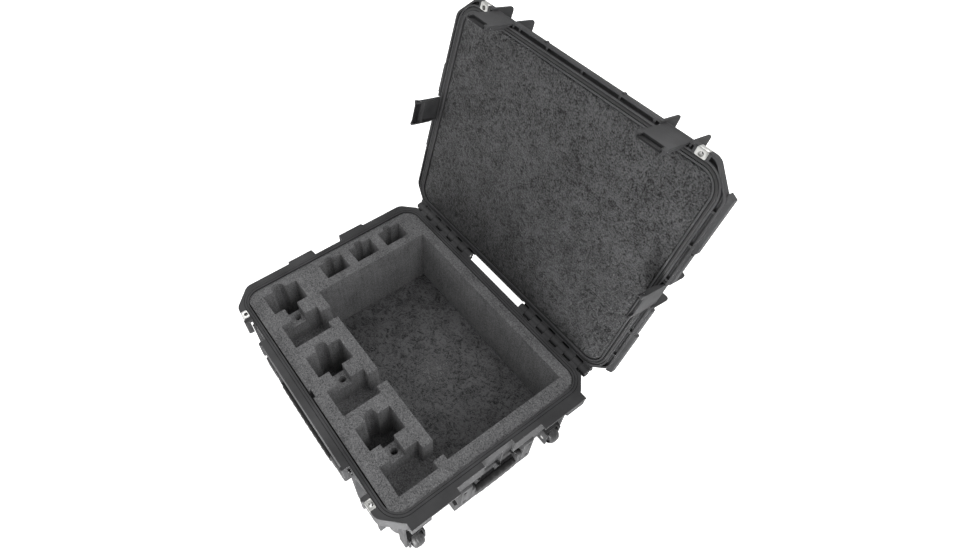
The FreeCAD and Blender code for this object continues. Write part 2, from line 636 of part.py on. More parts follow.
def foam_insert():
    g = FOAM_GAP
    front = FOAM_FRONT_GAP - CAVITY_Y
    block = tub(WALL + g, FLOOR_Z, 0).common(box(-BODY_X, BODY_X, front, BODY_Y, PAD_TOP, FOAM_TOP))
    cuts = [box(-198, 250, -79, 191.5, PAD_TOP - 1, FOAM_TOP + 1)]
    for y in (-17, 59.5, 137):
        cuts.append(box(-260, -218, y - 28, y + 28, FOAM_TOP - 90, FOAM_TOP + 1))
        cuts.append(round_notch(-271, y - 2, 9, FOAM_TOP - 90))
    for i in range(3):
        cuts += controller_group(i * GROUP_PITCH)
    cuts.append(box(-10, 8, -CAVITY_Y - 1, -206, FOAM_TOP - 20, FOAM_TOP + 1))
    return less(block, cuts)


def foam_floor_pad():
    g = FOAM_GAP
    pad = tub(WALL + g, FLOOR_Z, 0).common(box(-BODY_X, BODY_X, -BODY_Y, BODY_Y, FLOOR_Z, PAD_TOP))
    return less(pad, [wheel_well(5.0 + g, s) for s in (-1, 1)])


# ---------------------------------------------------------------- carry handles, drawn at a wall
def handle_bracket(x0, x1, z0, z1, depth):
    """A moulded block with sloped ends that holds one end of a handle."""
    outline = [(0, z0), (depth - 4, z0), (depth, z0 + 6), (depth, z1 - 4), (depth - 3, z1), (0, z1)]
    return prism(outline, x0, x1 - x0, "x")


def handle_pin(x0, x1, out, z):
    return rod((x0, out, z), (1, 0, 0), HANDLE_PIN_R, x1 - x0)


def screw(x, z, depth):
    """A pan-head screw with a cross recess."""
    head = rod((x, depth, z), (0, 1, 0), 3.8, 3.0)
    cross = [box(x - 2.2, x + 2.2, depth + 1.6, depth + 4, z - 0.5, z + 0.5),
             box(x - 0.5, x + 0.5, depth + 1.6, depth + 4, z - 2.2, z + 2.2)]
    return less(head, cross)


def bail(half, arm_w, drop, bar_h, out, z):
    """A handle: two arms from the pivot eyes down to a bar."""
    y0, y1 = out - HANDLE_THICK / 2, out + HANDLE_THICK / 2
    solids = [box(-half, half, y0, y1, z - drop - bar_h, z - drop)]
    bores = []
    for side in (-1, 1):
        x0, x1 = sorted((side * half, side * (half - arm_w)))
        solids.append(box(x0, x1, y0, y1, z - drop - 2, z))
        solids.append(rod((x0, out, z), (1, 0, 0), HANDLE_THICK / 2, x1 - x0))
        bores.append(rod((x0 - 1, out, z), (1, 0, 0), HANDLE_PIN_R + RUN, arm_w + 2))
    return less(joined(solids), bores)


def grip_cover(half, drop, bar_h, out, z):
    """A soft sleeve round a handle's bar."""
    wrap = 2.5
    y0, y1 = out - HANDLE_THICK / 2, out + HANDLE_THICK / 2
    outer = box(-half, half, y0 - wrap, y1 + wrap, z - drop - bar_h - wrap, z - drop + wrap)
    outer = bevelled(outer, -3.0, lambda e: abs(e.tangentAt(e.FirstParameter).x) > 0.9)
    return outer.cut(box(-half - 1, half + 1, y0, y1, z - drop - bar_h, z - drop))


# ---------------------------------------------------------------- front carry handle
def front_bracket(side):
    x0, x1 = sorted((side * (FRONT_GRIP + 2), side * (FRONT_GRIP + 38)))
    block = handle_bracket(x0, x1, HANDLE_Z - 26, HANDLE_Z + 14, FRONT_OUT + 6)
    pin_x0, pin_x1 = sorted((side * (FRONT_GRIP + 1), side * (FRONT_GRIP + 22)))
    bore = rod((pin_x0, FRONT_OUT, HANDLE_Z), (1, 0, 0), HANDLE_PIN_R + 0.02, pin_x1 - pin_x0)
    holes = [rod((side * x, FRONT_OUT, HANDLE_Z - 14), (0, 1, 0), 4.0, 10) for x in FRONT_SCREWS]
    return on_wall(less(block, [bore] + holes), "front")


def front_screws():
    screws = [screw(side * x, HANDLE_Z - 14, FRONT_OUT) for side in (-1, 1) for x in FRONT_SCREWS]
    return Part.makeCompound([on_wall(s, "front") for s in screws])


def front_pins():
    pins = []
    for side in (-1, 1):
        x0, x1 = sorted((side * (FRONT_GRIP - 9), side * (FRONT_GRIP + 22)))
        pins.append(on_wall(handle_pin(x0, x1, FRONT_OUT, HANDLE_Z), "front"))
    return Part.makeCompound(pins)


def front_handle():
    return on_wall(bail(FRONT_GRIP, 10.0, 26.0, 13.0, FRONT_OUT, HANDLE_Z), "front")


def front_grip():
    return on_wall(grip_cover(FRONT_GRIP - 16, 26.0, 13.0, FRONT_OUT, HANDLE_Z), "front")


# ---------------------------------------------------------------- carry handle on the wheel end
def end_bracket(side):
    x0, x1 = sorted((side * (END_GRIP + 1.5), side * (END_GRIP + 25)))
    block = handle_bracket(x0, x1, RIM_Z - 138, RIM_Z - BAND_DROP - 1, END_OUT + 6)
    pin_x0, pin_x1 = sorted((side * (END_GRIP + 1), side * (END_GRIP + 14)))
    bore = rod((pin_x0, END_OUT, END_Z), (1, 0, 0), HANDLE_PIN_R + 0.02, pin_x1 - pin_x0)
    holes = [rod((side * (END_GRIP + 17), END_OUT, z), (0, 1, 0), 4.0, 10) for z in END_SCREW_Z]
    return on_wall(less(block, [bore] + holes), "right")


def end_screws():
    screws = [screw(side * (END_GRIP + 17), z, END_OUT) for side in (-1, 1) for z in END_SCREW_Z]
    return Part.makeCompound([on_wall(s, "right") for s in screws])


def end_pins():
    pins = []
    for side in (-1, 1):
        x0, x1 = sorted((side * (END_GRIP - 8), side * (END_GRIP + 14)))
        pins.append(on_wall(handle_pin(x0, x1, END_OUT, END_Z), "right"))
    return Part.makeCompound(pins)


def end_handle():
    return on_wall(bail(END_GRIP, 9.0, 26.0, 22.0, END_OUT, END_Z), "right")


def end_grip():
    return on_wall(grip_cover(END_GRIP - 11, 26.0, 22.0, END_OUT, END_Z), "right")


# ---------------------------------------------------------------- wheels
def wheel_housing(side):
    """A fork bolted into the wheel well: a roof, a back plate and two cheeks."""
    yc = side * WHEEL_Y
    half = WHEEL_W / 2 + 6.2
    x0, x1 = WHEEL_X - WHEEL_R - 3.7, BODY_X - 1
    top = WHEEL_Z + WHEEL_R + 3.7
    solids = [box(x0, x1, yc - half, yc + half, top - 2.5, top),
              box(x0, x0 + 2.5, yc - half, yc + half, 4, top)]
    for y0 in (yc - half, yc + half - 4.5):
        solids.append(box(x0, x1 + 6, y0, y0 + 4.5, 8, top))
    fork = joined(solids)
    return less(fork, [rod((WHEEL_X, yc - half - 1, WHEEL_Z), (0, 1, 0), AXLE_R + 0.02, 2 * half + 2)])


def wheel_axle(side):
    half = WHEEL_W / 2 + 6.2
    return rod((WHEEL_X, side * WHEEL_Y - half, WHEEL_Z), (0, 1, 0), AXLE_R, 2 * half)


def turned(points, side):
    """A ring turned about the wheel's axis. The outline's points are (radius, along)."""
    yc = side * WHEEL_Y
    corners = [V(WHEEL_X + r, yc + a, WHEEL_Z) for r, a in points]
    section = Part.Face(Part.makePolygon(corners + corners[:1]))
    return section.revolve(V(WHEEL_X, yc, WHEEL_Z), V(0, 1, 0), 360)


def wheel_tyre(side):
    w, r = WHEEL_W / 2, WHEEL_R
    outline = [(15, -w + 1), (r - 6, -w), (r - 2, -w + 3), (r, -w + 8),
               (r, w - 8), (r - 2, w - 3), (r - 6, w), (15, w - 1)]
    return turned(outline, side)


def wheel_hub(side):
    w = WHEEL_W / 2
    r = AXLE_R + RUN
    boss, rim, face = 9.0, 14.97, w + 0.4
    outline = [(r, -face), (boss, -face), (boss, -w + 3), (rim, -w + 3),
               (rim, w - 3), (boss, w - 3), (boss, face), (r, face)]
    return turned(outline, side)


# ---------------------------------------------------------------- pull handle under the base
def pull_tubes():
    tubes = []
    for side in (-1, 1):
        outer = rod((-292, side * TUBE_Y, TUBE_Z), (1, 0, 0), TUBE_R, 440)
        tubes.append(less(outer, [rod((-293, side * TUBE_Y, TUBE_Z), (1, 0, 0), TUBE_R - 1.5, 442)]))
    return Part.makeCompound(tubes)


def pull_guide(x0, x1):
    """A pair of bushing blocks that carry the tubes under the floor."""
    blocks = []
    for side in (-1, 1):
        block = box(x0, x1, side * TUBE_Y - 13, side * TUBE_Y + 13, 2.0, UNDERSIDE_Z)
        bore = rod((x0 - 1, side * TUBE_Y, TUBE_Z), (1, 0, 0), TUBE_R + RUN, x1 - x0 + 2)
        blocks.append(less(block, [bore]))
    return Part.makeCompound(blocks)


def pull_grip():
    grip = slab(-307, -288, -80, 80, 2.5, 30, 8.0)
    grip = bevelled(grip, 3.0, lambda e: e.BoundBox.ZLength < 0.1 and e.BoundBox.XMax < -300)
    sockets = [rod((-293, s * TUBE_Y, TUBE_Z), (1, 0, 0), TUBE_R + 0.02, 6) for s in (-1, 1)]
    return less(grip, sockets + [box(-308, -299.5, -18.3, 18.3, 9.7, 22.3)])


def pull_button():
    button = slab(-308.5, -303, -18, 18, 10, 22, 0.5)
    return joined([button, box(-303.5, -303, -18, 18, 10, 22)])


# ---------------------------------------------------------------- pressure valve on the pull-handle end
def valve_body():
    body = rod((0, 0, VALVE_Z), (0, 1, 0), VALVE_R, 4.0)
    return on_wall(body.cut(rod((0, 1.5, VALVE_Z), (0, 1, 0), VALVE_CAP_R + 0.05, 5.0)), "left")


def valve_cap():
    cap = rod((0, 1.6, VALVE_Z), (0, 1, 0), VALVE_CAP_R, 5.4)
    slots = [box(-11, 11, 5.6, 8, VALVE_Z + up - 0.8, VALVE_Z + up + 0.8) for up in (-5, 0, 5)]
    return on_wall(less(cap, slots), "left")


# ---------------------------------------------------------------- build
LATCHES = {
    "front_left": ("front", -LATCH_X),
    "front_right": ("front", LATCH_X),
    "left_end": ("left", 0.0),
    "wheel_end": ("right", 0.0),
}


def nodes():
    parts = {
        "base_shell": base_shell(),
        "foam_insert": foam_insert(),
        "foam_floor_pad": foam_floor_pad(),
        "lid_shell": opened(lid_shell()),
        "lid_gasket": opened(lid_gasket()),
        "lid_foam": opened(lid_foam()),
        "front_handle_frame": front_handle(),
        "front_handle_grip": front_grip(),
        "front_handle_pins": front_pins(),
        "front_handle_screws": front_screws(),
        "end_handle_frame": end_handle(),
        "end_handle_grip": end_grip(),
        "end_handle_pins": end_pins(),
        "end_handle_screws": end_screws(),
        "pull_handle_tubes": pull_tubes(),
        "pull_handle_grip": pull_grip(),
        "pull_handle_button": pull_button(),
        "pull_handle_outer_guides": pull_guide(-284.0, -262.0),
        "pull_handle_inner_guides": pull_guide(-176.0, -152.0),
        "pressure_valve_body": valve_body(),
        "pressure_valve_cap": valve_cap(),
    }
    for name, side in (("left", -1), ("right", 1)):
        parts["hinge_pin_" + name] = hinge_pin(side)
        parts["base_padlock_insert_" + name] = base_liner(side)
        parts["lid_padlock_insert_" + name] = opened(lid_liner(side))
        parts["front_handle_bracket_" + name] = front_bracket(-side)
    for name, side in (("front", -1), ("rear", 1)):
        parts["end_handle_bracket_" + name] = end_bracket(-side)
        parts["wheel_housing_" + name] = wheel_housing(side)
        parts["wheel_axle_" + name] = wheel_axle(side)
        parts["wheel_tyre_" + name] = wheel_tyre(side)
        parts["wheel_hub_" + name] = wheel_hub(side)
    for name, (side, along) in LATCHES.items():
        parts["latch_" + name] = opened(on_wall(latch_body(), side, along))
        parts["latch_pin_" + name] = opened(on_wall(latch_pin(), side, along))
        parts["trigger_" + name] = opened(on_wall(latch_trigger(), side, along))
        parts["trigger_pin_" + name] = opened(on_wall(trigger_pin(), side, along))
    return parts


def main():
    os.makedirs("parts", exist_ok=True)
    for name, shape in nodes().items():
        solids = len(shape.Solids)
        print(f"{name:32s} solids {solids} volume {shape.Volume / 1000:.1f} cm3 valid {shape.isValid()}")
        shape.exportStep(os.path.join("parts", name + ".step"))


main()
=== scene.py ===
import json
import math

import bmesh
import bpy
import numpy as np
from mathutils import Matrix, Vector


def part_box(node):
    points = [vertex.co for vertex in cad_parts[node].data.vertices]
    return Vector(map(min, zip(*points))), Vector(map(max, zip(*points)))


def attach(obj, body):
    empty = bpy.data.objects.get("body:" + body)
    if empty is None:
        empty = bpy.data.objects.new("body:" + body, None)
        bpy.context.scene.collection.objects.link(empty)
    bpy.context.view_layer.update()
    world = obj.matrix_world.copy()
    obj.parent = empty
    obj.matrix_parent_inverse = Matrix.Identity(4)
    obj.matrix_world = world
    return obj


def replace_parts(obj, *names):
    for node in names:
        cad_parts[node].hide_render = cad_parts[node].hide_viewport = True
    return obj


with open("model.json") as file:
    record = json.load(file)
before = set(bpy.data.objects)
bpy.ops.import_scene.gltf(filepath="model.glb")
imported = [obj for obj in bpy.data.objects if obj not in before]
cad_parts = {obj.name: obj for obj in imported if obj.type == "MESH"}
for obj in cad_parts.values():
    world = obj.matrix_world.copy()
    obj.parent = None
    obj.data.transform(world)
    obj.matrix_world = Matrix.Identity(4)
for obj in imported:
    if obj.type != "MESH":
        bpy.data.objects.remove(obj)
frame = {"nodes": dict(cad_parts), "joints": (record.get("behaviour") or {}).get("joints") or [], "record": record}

MM = 0.001
SEED = 7

NODES = frame["nodes"]
BODIES = frame["record"]["behaviour"]["bodies"]
BODY_OF = {node: body for body, members in BODIES.items() for node in members}
SLOT_OF = {part["node"]: part["material_slot"] for part in frame["record"]["subparts"]}
JOINTS = {joint["name"]: joint for joint in frame["joints"]}
LATCHES = ("front_left", "front_right", "left_end", "wheel_end")
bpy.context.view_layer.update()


# ---------------------------------------------------------------- colour and shader nodes
def linear(code):
    """An sRGB hex colour as linear red, green, blue and alpha."""
    parts = np.array([int(code[i:i + 2], 16) for i in (1, 3, 5)]) / 255
    curve = np.where(parts <= 0.04045, parts / 12.92, ((parts + 0.055) / 1.055) ** 2.4)
    return (*curve, 1.0)


def add(tree, kind, inputs=None, **settings):
    """Adds one shader node with its settings. An input is given a value, or another node's output."""
    node = tree.nodes.new("ShaderNode" + kind)
    for name, value in settings.items():
        setattr(node, name, value)
    for name, value in (inputs or {}).items():
        if isinstance(value, bpy.types.NodeSocket):
            tree.links.new(value, node.inputs[name])
        else:
            node.inputs[name].default_value = value
    return node


def blank(name, **inputs):
    """A new material: its node tree, its shader and its Object coordinates."""
    material = bpy.data.materials.new(name)
    material.use_nodes = True
    tree = material.node_tree
    tree.nodes.clear()
    shader = add(tree, "BsdfPrincipled", {key.replace("_", " "): value for key, value in inputs.items()})
    add(tree, "OutputMaterial", {"Surface": shader.outputs[0]})
    where = add(tree, "TexCoord").outputs["Object"]
    return material, tree, shader, where


# ---------------------------------------------------------------- materials
def moulded(name, body, pale, grain_mm, roughness, rounding_mm):
    """Injection-moulded plastic: a sparked texture, faint flow clouds, and a painted highlight that makes its
    edges paler.
    """
    material, tree, shader, where = blank(name, IOR=1.49, Specular_IOR_Level=0.2)
    cloud = add(tree, "TexNoise", {"Vector": where, "Scale": 1 / (70 * MM), "Detail": 3.0})
    grain = add(tree, "TexNoise", {"Vector": where, "Scale": 1 / (grain_mm * MM), "Detail": 2.0})
    eased_edge = add(tree, "Bevel", {"Radius": rounding_mm * MM}, samples=4)
    facing = add(tree, "NewGeometry")
    cosine = add(tree, "VectorMath", {0: eased_edge.outputs[0], 1: facing.outputs["Normal"]},
                 operation="DOT_PRODUCT")
    # painted highlight: the colour turns paler where the rounded normal leans away from the face, along the edges,
    # broken up by noise
    edge_highlight = add(tree, "MapRange", {"Value": cosine.outputs["Value"], "From Min": 0.99, "From Max": 0.86,
                                 "To Min": 0.0, "To Max": 0.55})
    edge_highlight_breakup = add(tree, "TexNoise", {"Vector": where, "Scale": 1 / (9 * MM), "Detail": 6.0, "Roughness": 0.7})
    painted_edge_highlight = add(tree, "Math", {0: edge_highlight.outputs[0], 1: edge_highlight_breakup.outputs[0]}, operation="MULTIPLY")
    haze = add(tree, "MapRange", {"Value": cloud.outputs[0], "From Min": 0.3, "From Max": 0.7,
                                  "To Max": 0.22})
    clouded = add(tree, "Mix", {0: haze.outputs[0], 6: linear(body), 7: linear(pale)}, data_type="RGBA")
    # the painted edge highlight laid over the clouded plastic colour
    colour = add(tree, "Mix", {0: painted_edge_highlight.outputs[0], 6: clouded.outputs[2], 7: linear(pale)}, data_type="RGBA")
    gloss = add(tree, "MapRange", {"Value": grain.outputs[0], "From Min": 0.3, "From Max": 0.7,
                                   "To Min": roughness - 0.06, "To Max": roughness + 0.08})
    bump = add(tree, "Bump", {"Height": grain.outputs[0], "Strength": 0.35, "Distance": 0.25 * MM,
                              "Normal": eased_edge.outputs[0]})
    tree.links.new(colour.outputs[2], shader.inputs["Base Color"])
    tree.links.new(gloss.outputs[0], shader.inputs["Roughness"])
    tree.links.new(bump.outputs[0], shader.inputs["Normal"])
    return material


def sawn_foam(name, dark, light, bead_mm, relief_mm):
    """Closed-cell polyethylene foam: opened cells give a pale and dark speckle, and the blade leaves
    upright streaks on a cut wall."""
    material, tree, shader, where = blank(name, Roughness=0.95, IOR=1.45, Specular_IOR_Level=0.25)
    bead = add(tree, "TexVoronoi", {"Vector": where, "Scale": 1 / (bead_mm * MM)})
    tone = add(tree, "SeparateColor", {"Color": bead.outputs["Color"]})
    fleck = add(tree, "TexNoise", {"Vector": where, "Scale": 1 / (1.7 * bead_mm * MM), "Detail": 3.0,
                                   "Roughness": 0.7})
    patch = add(tree, "TexNoise", {"Vector": where, "Scale": 1 / (45 * MM), "Detail": 2.0})
    upright = add(tree, "Mapping", {"Vector": where, "Scale": (1.0, 1.0, 0.05)})
    streak = add(tree, "TexNoise", {"Vector": upright.outputs[0], "Scale": 1 / (4 * MM), "Detail": 2.0})
    facing = add(tree, "NewGeometry")
    normal = add(tree, "SeparateXYZ", {"Vector": facing.outputs["Normal"]})
    level = add(tree, "Math", {0: normal.outputs["Z"]}, operation="ABSOLUTE")
    wall = add(tree, "MapRange", {"Value": level.outputs[0], "From Min": 0.6, "From Max": 0.2})
    ridge = add(tree, "Math", {0: streak.outputs[0], 1: wall.outputs[0]}, operation="MULTIPLY")
    mixed = add(tree, "Math", {0: tone.outputs[0], 1: 0.30, 2: fleck.outputs[0]}, operation="MULTIPLY_ADD")
    shaded = add(tree, "Math", {0: patch.outputs[0], 1: 0.35, 2: mixed.outputs[0]}, operation="MULTIPLY_ADD")
    streaked = add(tree, "Math", {0: ridge.outputs[0], 1: 0.3, 2: shaded.outputs[0]},
                   operation="MULTIPLY_ADD")
    amount = add(tree, "MapRange", {"Value": streaked.outputs[0], "From Min": 0.50, "From Max": 1.20})
    colour = add(tree, "Mix", {0: amount.outputs[0], 6: linear(dark), 7: linear(light)}, data_type="RGBA")
    height = add(tree, "Math", {0: bead.outputs["Distance"], 1: 0.6, 2: streaked.outputs[0]},
                 operation="MULTIPLY_ADD")
    bump = add(tree, "Bump", {"Height": height.outputs[0], "Strength": 0.8, "Distance": relief_mm * MM})
    tree.links.new(colour.outputs[2], shader.inputs["Base Color"])
    tree.links.new(bump.outputs[0], shader.inputs["Normal"])
    return material


def foam_skin(name, dark, light, grain_mm, roughness):
    """The moulded skin of laminated foam, read from the height of its modelled grain under a finer pebble: creases
    darkened with painted shade and duller, crowns lightened with a painted highlight and slightly glossy."""
    material, tree, shader, where = blank(name, IOR=1.5, Specular_IOR_Level=0.3)
    grain = add(tree, "Attribute", attribute_name="grain").outputs["Fac"]
    fine = add(tree, "TexNoise", {"Vector": where, "Scale": 1 / (grain_mm * MM), "Detail": 2.0,
                                  "Roughness": 0.6})
    patch = add(tree, "TexNoise", {"Vector": where, "Scale": 1 / (50 * MM), "Detail": 3.0})
    relief_height = add(tree, "Math", {0: fine.outputs[0], 1: 1.6, 2: grain}, operation="MULTIPLY_ADD")
    tone = add(tree, "Math", {0: patch.outputs[0], 1: 0.25, 2: relief_height.outputs[0]},
               operation="MULTIPLY_ADD")
    # painted shade and highlight: the colour runs from dark in the creases to light on the crowns, following the
    # same height as the bump
    amount = add(tree, "MapRange", {"Value": tone.outputs[0], "From Min": 0.95, "From Max": 1.65})
    colour = add(tree, "Mix", {0: amount.outputs[0], 6: linear(dark), 7: linear(light)}, data_type="RGBA")
    gloss = add(tree, "MapRange", {"Value": relief_height.outputs[0], "From Min": 0.7, "From Max": 1.7,
                                   "To Min": roughness + 0.2, "To Max": roughness - 0.08})
    bump = add(tree, "Bump", {"Height": relief_height.outputs[0], "Strength": 1.0, "Distance": 1.3 * MM})
    tree.links.new(colour.outputs[2], shader.inputs["Base Color"])
    tree.links.new(gloss.outputs[0], shader.inputs["Roughness"])
    tree.links.new(bump.outputs[0], shader.inputs["Normal"])
    return material


def soft_rubber(name, body, dusty, roughness):
    """Moulded elastomer: a matt skin with dust held in its fine texture."""
    material, tree, shader, where = blank(name, IOR=1.52, Roughness=roughness)
    fine = add(tree, "TexNoise", {"Vector": where, "Scale": 1 / (1.2 * MM), "Detail": 3.0})
    dust = add(tree, "TexNoise", {"Vector": where, "Scale": 1 / (14 * MM), "Detail": 5.0, "Roughness": 0.7})
    amount = add(tree, "MapRange", {"Value": dust.outputs[0], "From Min": 0.4, "From Max": 0.8,
                                    "To Max": 0.5})
    colour = add(tree, "Mix", {0: amount.outputs[0], 6: linear(body), 7: linear(dusty)}, data_type="RGBA")
    bump = add(tree, "Bump", {"Height": fine.outputs[0], "Strength": 0.4, "Distance": 0.2 * MM})
    tree.links.new(colour.outputs[2], shader.inputs["Base Color"])
    tree.links.new(bump.outputs[0], shader.inputs["Normal"])
    return material


def drawn_metal(name, body, roughness, stretch):
    """Drawn or pressed metal: fine lines along the working direction, which stretch gives per axis."""
    material, tree, shader, where = blank(name, Metallic=1.0)
    along = add(tree, "Mapping", {"Vector": where, "Scale": stretch})
    line = add(tree, "TexNoise", {"Vector": along.outputs[0], "Scale": 1 / (0.8 * MM), "Detail": 4.0})
    gloss = add(tree, "MapRange", {"Value": line.outputs[0], "From Min": 0.3, "From Max": 0.7,
                                   "To Min": roughness - 0.07, "To Max": roughness + 0.09})
    shade = add(tree, "MapRange", {"Value": line.outputs[0], "From Min": 0.2, "From Max": 0.8,
                                   "To Max": 0.35})
    colour = add(tree, "Mix", {0: shade.outputs[0], 6: linear(body), 7: linear("#8a8a88")}, data_type="RGBA")
    bump = add(tree, "Bump", {"Height": line.outputs[0], "Strength": 0.15, "Distance": 0.02 * MM})
    tree.links.new(colour.outputs[2], shader.inputs["Base Color"])
    tree.links.new(gloss.outputs[0], shader.inputs["Roughness"])
    tree.links.new(bump.outputs[0], shader.inputs["Normal"])
    return material


MATERIALS = {
    # the paler colour of each moulded plastic serves its flow clouds and the painted highlight on its edges
    # black polypropylene shells, sparked texture drawn at 1.1 mm so that it shows
    "shell_plastic": moulded("black_polypropylene", "#39393a", "#747475", 1.1, 0.72, 1.2),
    # glass-filled nylon of latches and handles: a little greyer and drier than the shells
    "latch_plastic": moulded("glass_filled_nylon", "#2f2f30", "#6e6e6f", 0.9, 0.62, 0.8),
    "trigger_plastic": moulded("black_acetal", "#101011", "#38383a", 0.8, 0.40, 0.5),
    "hub_nylon": moulded("black_nylon_hub", "#242425", "#585859", 0.9, 0.45, 0.6),
    # beads of 1.6 mm: real cells are finer, and would blur to a flat grey
    "charcoal_foam": sawn_foam("charcoal_polyethylene_foam", "#363637", "#8b8b8c", 1.6, 0.5),
    # the dark colour is painted shade in the creases of the grain, the light colour a painted highlight on its
    # crowns
    "liner_foam": foam_skin("pebbled_foam_skin", "#050505", "#4a4a4b", 3.0, 0.47),
    "gasket_rubber": soft_rubber("black_epdm_seal", "#161617", "#2c2c2d", 0.6),
    "grip_rubber": soft_rubber("soft_touch_elastomer", "#191919", "#3a3a3a", 0.62),
    "tyre_rubber": soft_rubber("black_polyurethane_tyre", "#1b1b1c", "#454546", 0.5),
    "stainless": drawn_metal("pressed_stainless_steel", "#c9c9c6", 0.34, (0.25, 0.25, 0.02)),
    "tube_aluminium": drawn_metal("anodised_aluminium_tube", "#77787b", 0.34, (0.05, 1.0, 1.0)),
}
# as on the lid's liner, dark painted shade in the creases and a light painted highlight on the crowns
BAY_FLOOR_SKIN = foam_skin("bay_floor_foam_skin", "#202021", "#666667", 2.4, 0.8)


# ---------------------------------------------------------------- mesh helpers
def grid_faces(rows, columns, round_rows=False, round_columns=False):
    """Four indices for each quad between neighbouring grid points."""
    i, j = np.meshgrid(np.arange(rows if round_rows else rows - 1),
                       np.arange(columns if round_columns else columns - 1), indexing="ij")
    ni, nj = (i + 1) % rows, (j + 1) % columns
    corners = [i * columns + j, i * columns + nj, ni * columns + nj, ni * columns + j]
    return np.stack(corners, -1).reshape(-1, 4)


def piece(name, points, faces, material, body, sharp_deg=40, grain=None):
    """A mesh object at the origin that rides on a body, with its faces turned outwards. The height of a
    worked grain, 0 in a crease and 1 on a crown, is kept as a point attribute."""
    mesh = bpy.data.meshes.new(name)
    mesh.from_pydata(np.asarray(points, float).reshape(-1, 3), [], [list(map(int, face)) for face in faces])
    if grain is not None:
        mesh.attributes.new("grain", "FLOAT", "POINT").data.foreach_set("value", grain.astype(np.float32))
    edit = bmesh.new()
    edit.from_mesh(mesh)
    bmesh.ops.remove_doubles(edit, verts=edit.verts, dist=1e-7)
    bmesh.ops.recalc_face_normals(edit, faces=edit.faces)
    edit.to_mesh(mesh)
    edit.free()
    return place(name, mesh, material, body, sharp_deg)


def place(name, mesh, material, body, sharp_deg=40):
    """Puts a finished mesh in the scene: one material, smooth faces, and edges sharp past that angle."""
    mesh.materials.clear()
    mesh.materials.append(material)
    mesh.polygons.foreach_set("use_smooth", np.ones(len(mesh.polygons), bool))
    mesh.set_sharp_from_angle(angle=math.radians(sharp_deg))
    shape = bpy.data.objects.new(name, mesh)
    bpy.context.scene.collection.objects.link(shape)
    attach(shape, body)
    return shape


def eased(node, edge_mm, segments=2):
    """Stands for a CAD node with its sharp edges rounded, as they leave a mould or a saw."""
    mesh = NODES[node].data.copy()
    edit = bmesh.new()
    edit.from_mesh(mesh)
    bmesh.ops.remove_doubles(edit, verts=edit.verts, dist=2e-6)
    bmesh.ops.dissolve_limit(edit, angle_limit=math.radians(0.8), verts=edit.verts, edges=edit.edges)
    edit.to_mesh(mesh)
    edit.free()
    slot = SLOT_OF[node]
    shape = place(node + "_eased", mesh, MATERIALS[slot], BODY_OF[node], sharp_deg=180)
    bevel = shape.modifiers.new("eased edges", "BEVEL")
    bevel.width = edge_mm * MM
    bevel.segments = segments
    bevel.limit_method = "ANGLE"
    bevel.angle_limit = math.radians(32)
    bevel.harden_normals = True
    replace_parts(shape, node)
    return shape


# ---------------------------------------------------------------- noise, as whole arrays
def smooth_noise(x, y, cell, seed):
    """Random values on a square lattice of that cell, joined by smoothstep, from 0 to 1."""
    table = np.random.default_rng(seed).random((512, 512))
    u, v = x / cell + 1000, y / cell + 1000
    i, j = np.floor(u).astype(int), np.floor(v).astype(int)
    fu, fv = u - i, v - j
    fu, fv = fu * fu * (3 - 2 * fu), fv * fv * (3 - 2 * fv)
    i, j, ni, nj = i % 512, j % 512, (i + 1) % 512, (j + 1) % 512
    low = table[i, j] * (1 - fu) + table[ni, j] * fu
    high = table[i, nj] * (1 - fu) + table[ni, nj] * fu
    return low * (1 - fv) + high * fv


def pebbles(x, y, cell, seed):
    """Rounded grains: for jittered centres one to a cell, the second nearest distance less the nearest,
    which is 0 in the creases between grains and 1 or so on their crowns."""
    jitter = np.random.default_rng(seed).random((256, 256, 2))
    u, v = x / cell + 1000, y / cell + 1000
    i, j = np.floor(u).astype(int), np.floor(v).astype(int)
    near = np.full(u.shape, 9.0)
    second = np.full(u.shape, 9.0)
    for a in (-1, 0, 1):
        for b in (-1, 0, 1):
            offset = jitter[(i + a) % 256, (j + b) % 256]
            gap = np.hypot(i + a + offset[..., 0] - u, j + b + offset[..., 1] - v)
            second = np.minimum(second, np.maximum(near, gap))
            near = np.minimum(near, gap)
    return np.clip(second - near, 0, 1)


def worms(x, y, cell, seed):
    """Winding ridges: smooth noise read at places shifted by more noise, folded about its middle."""
    bend_x = (smooth_noise(x, y, 2 * cell, seed) - 0.5) * 2.5 * cell
    bend_y = (smooth_noise(x, y, 2 * cell, seed + 1) - 0.5) * 2.5 * cell
    folded = np.abs(2 * smooth_noise(x + bend_x, y + bend_y, cell, seed + 2) - 1)
    return 1 - folded


